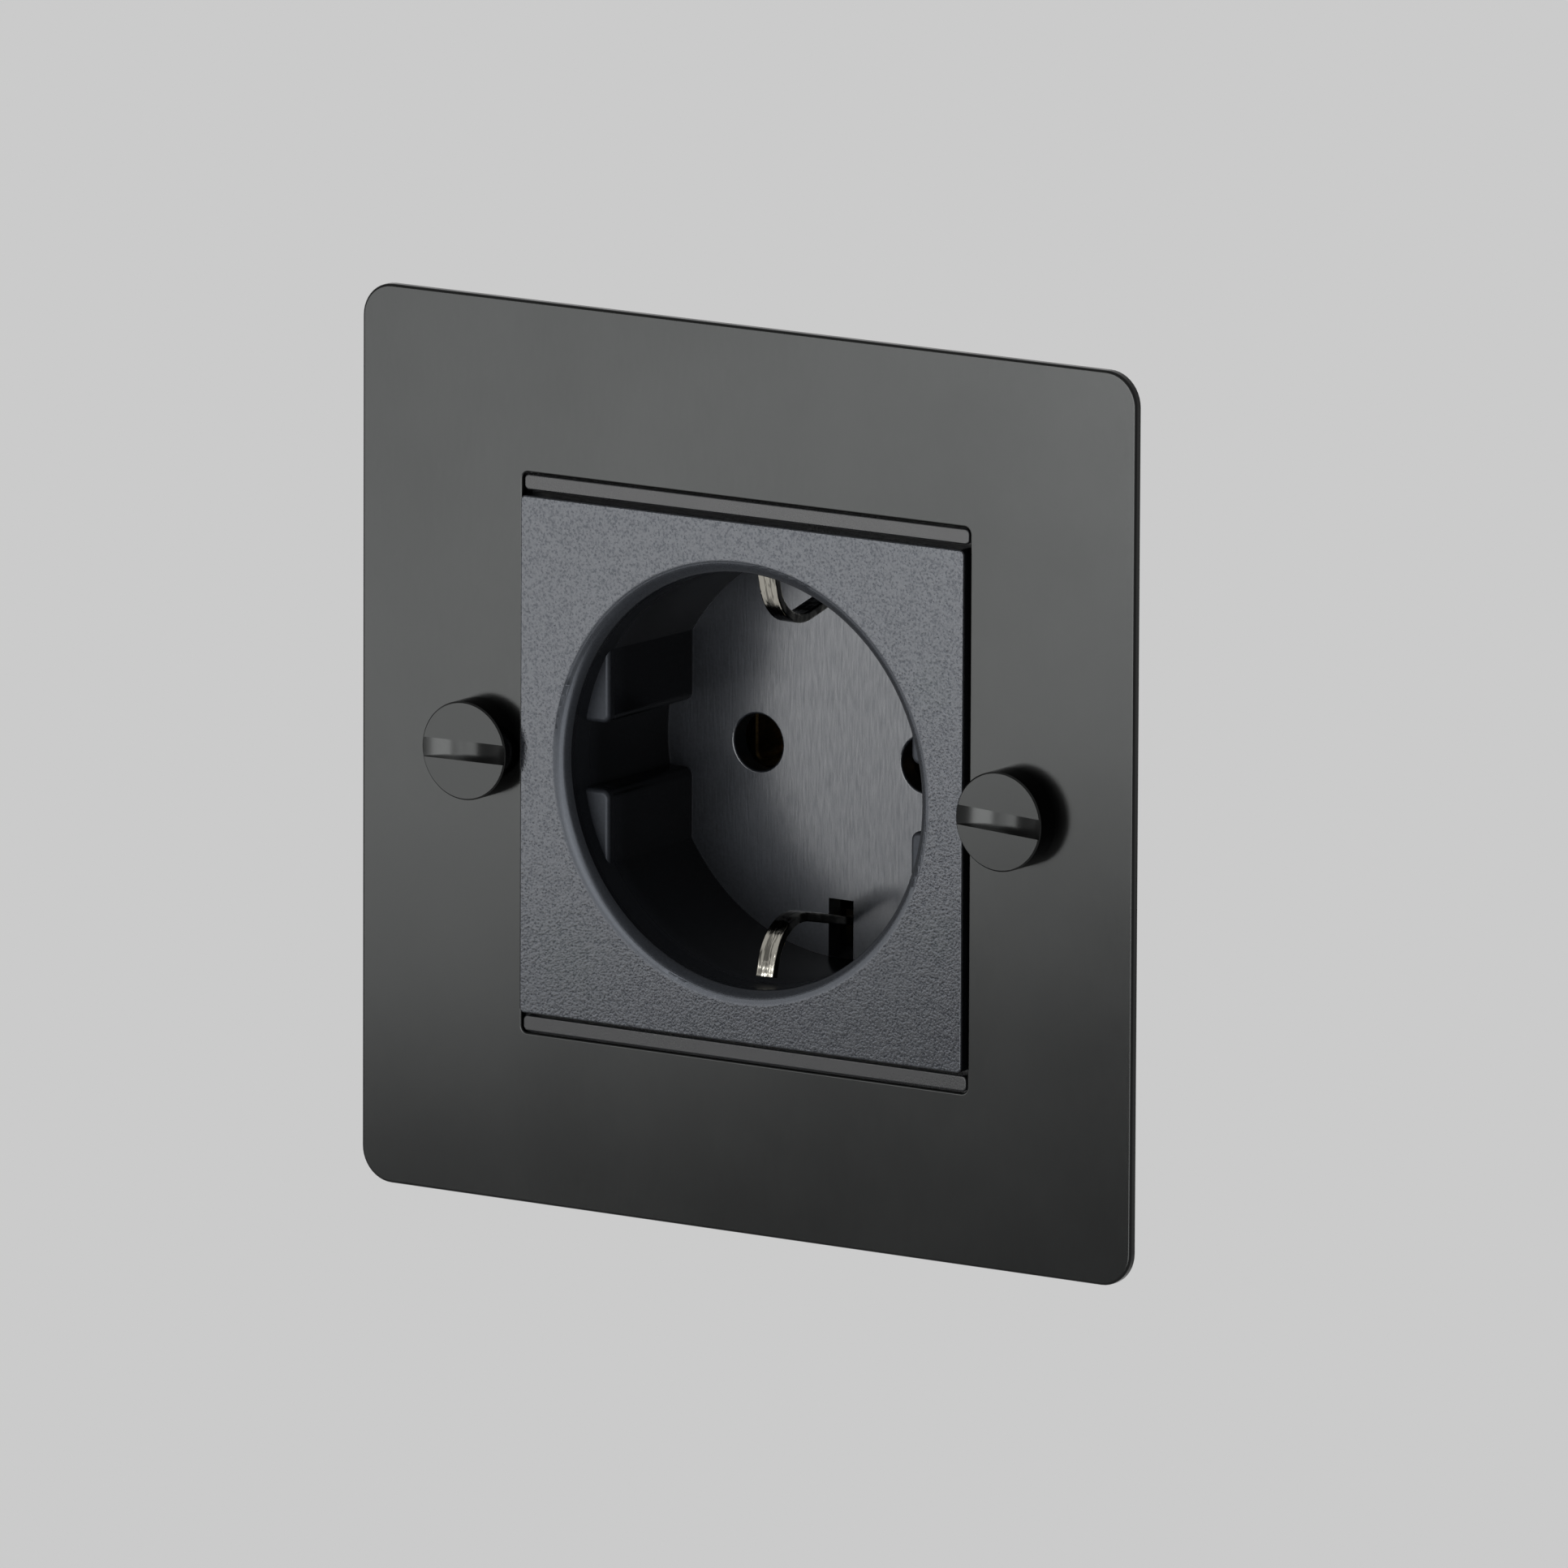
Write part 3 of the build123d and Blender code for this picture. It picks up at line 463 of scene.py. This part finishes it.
def grained_plastic(name, finishes):
    """Moulded plastic: a grained face, a soft lip, duller rib fronts, painted shade on the deep walls,
    a streaked floor.
    """
    finish = Finish(name)
    place = finish.place()
    x, y, z = finish.axes(place)

    # Zones, each 1 on its own part of the moulding and 0 elsewhere
    lip, bottom = finishes.lip_radius / MM, finishes.recess_depth / MM
    depth = y - FACE_FRONT / MM
    face = finish.step((x * x + z * z) ** 0.5, low=lip - LIP_BLUR, high=lip + LIP_BLUR)
    recess = 1 - face
    floor = finish.step(depth, *(bottom + edge for edge in FLOOR_EDGE)) * recess
    below_ribs = finish.step(depth, *RIB_FRONTS_END)
    rib_fronts = finish.step(depth, *RIB_FRONTS_BEGIN) * (1 - below_ribs) * recess
    painted_shade_wall = finish.step(depth, *PAINTED_SHADE_DEPTHS) * recess * (1 - floor)

    # Patterns
    grain = finish.noise(place, scale=MM / finishes.grain_size, detail=1.0)
    pits = finish.cells(place, scale=PITS_PER_GRAIN * MM / finishes.grain_size)
    streak = finish.noise(finish.stretch(place, *FLOOR_STREAKS), detail=3.0)
    cloud = finish.noise(place, scale=0.12, detail=3.0)
    shade = finish.step(grain * 0.6 + cloud * 0.4, low=0.3, high=0.7)
    rough = grain * 0.7 + pits * 0.3
    spark = finish.step(rough, low=0.3, high=0.6) * face

    grained = finish.mottle(shade, finishes.face_colour, spread=0.3)
    pitting = rough * face * (finishes.grain_depth / MM)
    rounding = depth.least(finishes.lip_size / MM) * recess * finishes.lip_softness
    zone_roughness = (
        WALL_ROUGHNESS
        + (FACE_ROUGHNESS - WALL_ROUGHNESS) * face
        + (RIB_ROUGHNESS - WALL_ROUGHNESS) * rib_fronts
        + (FLOOR_ROUGHNESS - WALL_ROUGHNESS) * floor
    )
    finish.set(
        # Painted shade: the deep walls of the recess take a darker base colour than the face
        Base_Color=finish.blend(painted_shade_wall, grained, tint(finishes.face_colour, DEEP_WALL_PAINTED_SHADE)),
        Roughness=zone_roughness + swing(cloud, width=0.08) + swing(streak, width=0.06) * floor,
        Normal=finish.bump(pitting + rounding + streak * floor * FLOOR_RELIEF),
        Coat_Weight=(FLOOR_COAT + streak) * floor + GRAIN_COAT * spark,
        Coat_Roughness=COAT_ROUGHNESS,
        IOR=FACE_IOR,
        Specular_Tint=(*finishes.face_gloss, 1.0),
    )
    return finish


def moulded_plastic(name, colour, gloss, grain_scale, roughness):
    """Plain moulded plastic with a fine grain and faint flow marks."""
    finish = Finish(name)
    place = finish.place()
    grain = finish.noise(place, scale=grain_scale, detail=2.0, roughness=0.6)
    flow = finish.noise(finish.stretch(place, *FLOW_MARKS), detail=4.0)
    finish.set(
        Base_Color=finish.mottle(flow, colour, spread=0.25),
        Roughness=roughness + swing(flow, width=0.08) + swing(grain, width=0.05),
        Normal=finish.bump(grain * PLASTIC_RELIEF),
        IOR=PLASTIC_IOR,
        Specular_Tint=(gloss, gloss, gloss, 1.0),
    )
    return finish


def closed_foam(name, colour):
    """Closed-cell foam: small rounded cells in a matte skin."""
    finish = Finish(name)
    place = finish.place()
    cell = finish.cells(place, scale=3.2)
    patch = finish.noise(place, scale=0.3, detail=2.0)
    rim = finish.step(cell, low=0.1, high=0.6)
    finish.set(
        Base_Color=finish.blend(rim, tint(colour, 1.25), tint(colour, 0.7)),
        Roughness=FOAM_ROUGHNESS + swing(patch, width=0.08),
        Normal=finish.bump(cell * FOAM_RELIEF),
    )
    return finish


def plated_strip(name, colour, dark, lines, roughness, relief=STRIP_RELIEF, blur=0.08):
    """Rolled or plated metal with fine lines, a faint wave and a little tarnish."""
    finish = Finish(name)
    place = finish.place()
    rolled = finish.noise(finish.stretch(place, *lines), detail=3.0, roughness=0.6)
    wave = finish.noise(place, scale=0.9, detail=1.0)
    tarnish = finish.step(finish.noise(place, scale=0.25, detail=3.0), low=0.45, high=0.75)
    line = finish.step(rolled, low=NOISE_MIDDLE - blur, high=NOISE_MIDDLE + blur)
    finish.set(
        Base_Color=finish.blend(tarnish * 0.4 + line * 0.6, colour, dark),
        Metallic=1.0,
        Roughness=roughness + swing(rolled, width=0.10) + TARNISH_ROUGHNESS * tarnish,
        Normal=finish.bump(rolled * relief + wave * WAVE_RELIEF),
    )
    return finish


class SocketOperator:
    """What the socket's operators share."""

    bl_options = {"REGISTER", "UNDO"}

    @classmethod
    def poll(cls, context):
        return context.scene is not None


class SOCKET_OT_front_plate(SocketOperator, bpy.types.Operator):
    """Finish the flat plate in satin black metal, brushed from top to bottom"""

    bl_idname = "socket.front_plate"
    bl_label = "Front Plate"

    def execute(self, context):
        finishes = context.scene.socket_finishes
        dress("front_plate", satin_black_metal("plate_finish", finishes, PLATE_STREAKS))
        return {"FINISHED"}


class SOCKET_OT_plate_screws(SocketOperator, bpy.types.Operator):
    """Cut the thread of the coin-slot screws and finish them in the plate's metal"""

    bl_idname = "socket.plate_screws"
    bl_label = "Plate Screws"

    def execute(self, context):
        finishes = context.scene.socket_finishes
        build = bmesh.new()
        build.from_mesh(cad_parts["plate_screws"].data)
        low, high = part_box("plate_screws")
        head = (high.z - low.z) / 2
        for x in (low.x + head, high.x - head):
            shank = [v for v in build.verts if self.on_shank(v, x, finishes)]
            outside = THREADED_SHARE * finishes.thread_radius
            threaded = [vert.co.y for vert in shank if self.reach(vert, x) > outside]
            self.thin(shank, x, finishes)
            self.thread(build, x, min(threaded), max(threaded), finishes)
        mesh = bpy.data.meshes.new("threaded_screws")
        build.to_mesh(mesh)
        build.free()
        mesh.materials.clear()
        metal = satin_black_metal("screw_finish", finishes, SCREW_STREAKS, finishes.head_painted_shade)
        mesh.materials.append(metal.material)
        screws = bpy.data.objects.new("threaded_screws", mesh)
        context.scene.collection.objects.link(screws)
        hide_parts("plate_screws")
        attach(screws, "root")
        return {"FINISHED"}

    def on_shank(self, vert, x, finishes):
        """Whether a point belongs to the screw at that X, behind the wall's surface."""
        return abs(vert.co.x - x) < 2 * finishes.thread_radius and vert.co.y > 0

    def reach(self, vert, x):
        """How far a point lies from a screw's axis."""
        return math.hypot(vert.co.x - x, vert.co.z)

    def thin(self, shank, x, finishes):
        """Take the shank down to the thread's core."""
        core = finishes.thread_radius - finishes.thread_depth
        for vert in shank:
            if self.reach(vert, x) > core:
                share = core / self.reach(vert, x)
                vert.co.x, vert.co.z = x + (vert.co.x - x) * share, vert.co.z * share

    def thread(self, build, x, start, end, finishes):
        """Wind one ridge round the core, rising from it at the start and fading at the end."""
        root = finishes.thread_radius - finishes.thread_depth - THREAD_ROOT
        height = finishes.thread_depth + THREAD_ROOT
        steps = round((end - start) / finishes.thread_pitch - 1) * THREAD_STEPS
        before = None
        for i in range(steps + 1):
            turn = 2 * math.pi * i / THREAD_STEPS
            fade = min(1.0, 2 * i / THREAD_STEPS, 2 * (steps - i) / THREAD_STEPS)
            section = []
            for along, share in THREAD_RIDGE:
                radius = root + height * share * fade
                y = start + finishes.thread_pitch * (i / THREAD_STEPS + along)
                point = (x + radius * math.cos(turn), y, radius * math.sin(turn))
                section.append(build.verts.new(point))
            if before:
                for j in range(len(THREAD_RIDGE) - 1):
                    corners = (before[j], before[j + 1], section[j + 1], section[j])
                    build.faces.new(corners).smooth = j != 1
            before = section


class SOCKET_OT_wall_gasket(SocketOperator, bpy.types.Operator):
    """Finish the seal behind the plate as closed-cell foam"""

    bl_idname = "socket.wall_gasket"
    bl_label = "Wall Seal"

    def execute(self, context):
        dress("wall_gasket", closed_foam("seal_foam", context.scene.socket_finishes.seal_colour))
        return {"FINISHED"}


class SOCKET_OT_carrier_frame(SocketOperator, bpy.types.Operator):
    """Finish the carrier frame and its rails in fine-grained plastic"""

    bl_idname = "socket.carrier_frame"
    bl_label = "Carrier Frame"

    def execute(self, context):
        colour = context.scene.socket_finishes.rail_colour
        finish = moulded_plastic(
            "carrier_plastic", colour, gloss=0.6, grain_scale=5.0, roughness=0.28
        )
        dress("carrier_frame", finish)
        return {"FINISHED"}


class SOCKET_OT_socket_face(SocketOperator, bpy.types.Operator):
    """Finish the module's face in grained plastic with a smoother recess"""

    bl_idname = "socket.socket_face"
    bl_label = "Socket Face"

    def execute(self, context):
        dress("socket_face", grained_plastic("face_plastic", context.scene.socket_finishes))
        return {"FINISHED"}


class SOCKET_OT_rear_base(SocketOperator, bpy.types.Operator):
    """Finish the base behind the wall in dark moulded plastic"""

    bl_idname = "socket.rear_base"
    bl_label = "Rear Base"

    def execute(self, context):
        colour = context.scene.socket_finishes.base_colour
        finish = moulded_plastic("base_plastic", colour, gloss=1.0, grain_scale=3.0, roughness=0.52)
        dress("rear_base", finish)
        return {"FINISHED"}


class SOCKET_OT_earth_strap(SocketOperator, bpy.types.Operator):
    """Finish the earth strap in nickel with rolled lines along it, darkened in its colour as painted
    reflection streaks
    """

    bl_idname = "socket.earth_strap"
    bl_label = "Earth Strap"

    def execute(self, context):
        colour = context.scene.socket_finishes.nickel_colour
        # The near-black share paints dark reflection streaks into the rolled lines of the nickel
        dark = tint(colour, 0.05)
        finish = plated_strip(
            "earth_nickel",
            colour,
            dark,
            NICKEL_LINES_AND_PAINTED_STREAKS,
            roughness=0.13,
            relief=NICKEL_RELIEF,
            blur=0.03,
        )
        dress("earth_strap", finish)
        return {"FINISHED"}


class SOCKET_OT_contacts(SocketOperator, bpy.types.Operator):
    """Finish the leaf contacts in brass darkened as painted shade inside the pin holes"""

    bl_idname = "socket.contacts"
    bl_label = "Leaf Contacts"

    def execute(self, context):
        # The contacts' brass is darkened as painted shade for the inside of the pin holes
        colour = tint(context.scene.socket_finishes.brass_colour, CONTACT_PAINTED_SHADE)
        dark = tint(colour, 0.6)
        finish = plated_strip("contact_brass", colour, dark, CONTACT_LINES, roughness=0.48)
        for node in ("live_contact", "neutral_contact"):
            dress(node, finish)
        return {"FINISHED"}


class SOCKET_OT_terminals(SocketOperator, bpy.types.Operator):
    """Finish the box terminals in machined brass"""

    bl_idname = "socket.terminals"
    bl_label = "Box Terminals"

    def execute(self, context):
        colour = tint(context.scene.socket_finishes.brass_colour, TERMINAL_SHADE)
        finish = plated_strip(
            "terminal_brass", colour, BRASS_TARNISH, TERMINAL_LINES, roughness=0.34
        )
        for node in ("live_terminal", "neutral_terminal", "earth_terminal"):
            dress(node, finish)
        return {"FINISHED"}


class SOCKET_OT_small_steel(SocketOperator, bpy.types.Operator):
    """Finish the terminal screws, their pressure plates and the housing screws in zinc"""

    bl_idname = "socket.small_steel"
    bl_label = "Small Screws"

    def execute(self, context):
        colour = context.scene.socket_finishes.zinc_colour
        finish = plated_strip("zinc_steel", colour, ZINC_TARNISH, ZINC_LINES, roughness=0.33)
        for node in ("pressure_plates", "terminal_screws", "housing_screws"):
            dress(node, finish)
        return {"FINISHED"}


class Backdrop(Board):
    """A plain stage paint: even to the eye but for a share that takes shadows, matte to the light."""

    def __init__(self, name, colour, shadow, clear_behind):
        self.material = bpy.data.materials.new(name)
        super().__init__(self.material)
        colour = (*colour, 1.0)
        matte = self.node("ShaderNodeBsdfDiffuse", inputs={"Color": colour})
        glow = {"Color": colour, "Strength": 1 / (1 - shadow)}
        even = self.node("ShaderNodeEmission", inputs=glow)
        lit = (1 - shadow) * self.shown()
        paint = self.node("ShaderNodeMixShader", inputs={0: lit, 1: matte, 2: even})
        if clear_behind:
            behind = self.node("ShaderNodeNewGeometry", output="Backfacing")
            clear = self.node("ShaderNodeBsdfTransparent")
            paint = self.node("ShaderNodeMixShader", inputs={0: behind, 1: paint, 2: clear})
        self.node("ShaderNodeOutputMaterial", inputs={"Surface": paint})


class SOCKET_OT_stage(SocketOperator, bpy.types.Operator):
    """Set the plain background, the floor, the wall, the soft lamps and the camera"""

    bl_idname = "socket.stage"
    bl_label = "Studio"

    def execute(self, context):
        scene, studio = context.scene, context.scene.socket_studio
        self.space(scene, studio)
        self.floor(scene, studio)
        self.wall(scene, studio)
        slim = (studio.lamp_width, studio.lamp_height)
        wide = (studio.fill_width, studio.fill_height)
        square = (studio.back_width, studio.back_width)
        for name, place, size, power, lean in (
            ("key_lamp", studio.key_place, slim, studio.key_power, studio.lamp_lean),
            ("side_lamp", studio.side_place, slim, studio.side_power, studio.lamp_lean),
            ("fill_lamp", studio.fill_place, wide, studio.fill_power, 0.0),
            ("back_lamp", studio.back_place, square, studio.back_power, 0.0),
        ):
            self.lamp(scene, name, place, size, power, lean)
        self.camera(scene, studio)
        scene.view_settings.view_transform = "Standard"
        return {"FINISHED"}

    def space(self, scene, studio):
        """A plain world that shows the background and lights the socket gently."""
        scene.world = bpy.data.worlds.new("plain_space")
        board = Board(scene.world)
        strength = studio.ambient + (1 - studio.ambient) * board.shown()
        light = {"Color": (*studio.background, 1.0), "Strength": strength}
        space = board.node("ShaderNodeBackground", inputs=light)
        board.node("ShaderNodeOutputWorld", inputs={"Surface": space})

    def floor(self, scene, studio):
        """A wide pale floor far below, in the background's own grey."""
        build = bmesh.new()
        bmesh.ops.create_circle(build, cap_ends=True, segments=FLOOR_SIDES, radius=FLOOR_RADIUS)
        paint = Backdrop("floor_paint", studio.background, studio.floor_shadow, clear_behind=False)
        floor = self.sheet(scene, "floor", build, paint)
        floor.location.z = -studio.floor_drop

    def wall(self, scene, studio):
        """A plain wall that the soft seal sinks into, open for the carrier and clear from behind."""
        low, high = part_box("carrier_frame")
        middle = (low + high) / 2
        half = (high - low) / 2 + Vector((studio.wall_gap, 0.0, studio.wall_gap))
        reach = studio.wall_size / 2
        build = bmesh.new()
        rings = []
        for across, up in ((half.x, half.z), (reach, reach)):
            corners = ((-across, -up), (across, -up), (across, up), (-across, up))
            rings.append([build.verts.new((middle.x + x, 0.0, middle.z + z)) for x, z in corners])
        inside, outside = rings
        for i in range(4):
            j = (i + 1) % 4
            build.faces.new((outside[i], outside[j], inside[j], inside[i]))
        paint = Backdrop("wall_paint", studio.background, shadow=0.0, clear_behind=True)
        wall = self.sheet(scene, "wall", build, paint)
        front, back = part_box("wall_gasket")
        wall.location.y = (front.y + back.y) / 2

    def sheet(self, scene, name, build, paint):
        """A flat piece of the stage from its mesh in the making."""
        mesh = bpy.data.meshes.new(name)
        build.to_mesh(mesh)
        build.free()
        mesh.materials.append(paint.material)
        piece = bpy.data.objects.new(name, mesh)
        scene.collection.objects.link(piece)
        return piece

    def lamp(self, scene, name, place, size, power, lean):
        """A soft lamp that stands upright and faces the socket, seen only in reflections."""
        light = bpy.data.lights.new(name, "AREA")
        light.shape = "RECTANGLE"
        light.size, light.size_y, light.energy = *size, power
        lamp = bpy.data.objects.new(name, light)
        inward = Vector((-place[0], -place[1], 0.0))
        facing = inward.to_track_quat("-Z", "Y").to_matrix().to_4x4()
        lamp.matrix_world = Matrix.Translation(place) @ facing @ Matrix.Rotation(lean, 4, "Z")
        lamp.visible_camera = False
        scene.collection.objects.link(lamp)

    def camera(self, scene, studio):
        """A long lens at the picture's own angle."""
        a, e = studio.azimuth, studio.elevation
        back = Vector((math.sin(a) * math.cos(e), -math.cos(a) * math.cos(e), math.sin(e)))
        right = Vector((math.cos(a), math.sin(a), 0.0))
        up = back.cross(right)
        turned_right = right * math.cos(studio.roll) + up * math.sin(studio.roll)
        turned_up = up * math.cos(studio.roll) - right * math.sin(studio.roll)
        lens = bpy.data.cameras.new("camera")
        lens.lens, lens.sensor_width = studio.lens, SENSOR_WIDTH
        lens.clip_start, lens.clip_end = CLIP_NEAR, CLIP_FAR
        camera = bpy.data.objects.new("camera", lens)
        facing = Matrix((turned_right, turned_up, back)).transposed().to_4x4()
        stand = Vector(studio.target) + back * studio.distance
        camera.matrix_world = Matrix.Translation(stand) @ facing
        scene.collection.objects.link(camera)
        scene.camera = camera


class SOCKET_PT_panel(bpy.types.Panel):
    """The socket's pieces and studio, in the 3D view's sidebar"""

    bl_idname = "SOCKET_PT_panel"
    bl_label = "Wall Socket"
    bl_space_type = "VIEW_3D"
    bl_region_type = "UI"
    bl_category = "Socket"

    def draw(self, context):
        for operator in OPERATORS:
            self.layout.operator(operator.bl_idname)
        for group in (context.scene.socket_finishes, context.scene.socket_studio):
            box = self.layout.box()
            for name in group.__annotations__:
                box.prop(group, name)


OPERATORS = (
    SOCKET_OT_front_plate,
    SOCKET_OT_plate_screws,
    SOCKET_OT_wall_gasket,
    SOCKET_OT_carrier_frame,
    SOCKET_OT_socket_face,
    SOCKET_OT_rear_base,
    SOCKET_OT_earth_strap,
    SOCKET_OT_contacts,
    SOCKET_OT_terminals,
    SOCKET_OT_small_steel,
    SOCKET_OT_stage,
)
CLASSES = (SocketFinishes, SocketStudio, *OPERATORS, SOCKET_PT_panel)


def register():
    """Register the classes and hang their settings on the scene."""
    for cls in CLASSES:
        bpy.utils.register_class(cls)
    bpy.types.Scene.socket_finishes = PointerProperty(type=SocketFinishes)
    bpy.types.Scene.socket_studio = PointerProperty(type=SocketStudio)


def unregister():
    """Take the settings and the classes away again."""
    del bpy.types.Scene.socket_studio
    del bpy.types.Scene.socket_finishes
    for cls in reversed(CLASSES):
        bpy.utils.unregister_class(cls)


def main():
    """Dress every piece and set the studio."""
    register()
    bpy.ops.socket.front_plate()
    bpy.ops.socket.plate_screws()
    bpy.ops.socket.wall_gasket()
    bpy.ops.socket.carrier_frame()
    bpy.ops.socket.socket_face()
    bpy.ops.socket.rear_base()
    bpy.ops.socket.earth_strap()
    bpy.ops.socket.contacts()
    bpy.ops.socket.terminals()
    bpy.ops.socket.small_steel()
    bpy.ops.socket.stage()


if __name__ == "__main__":
    main()
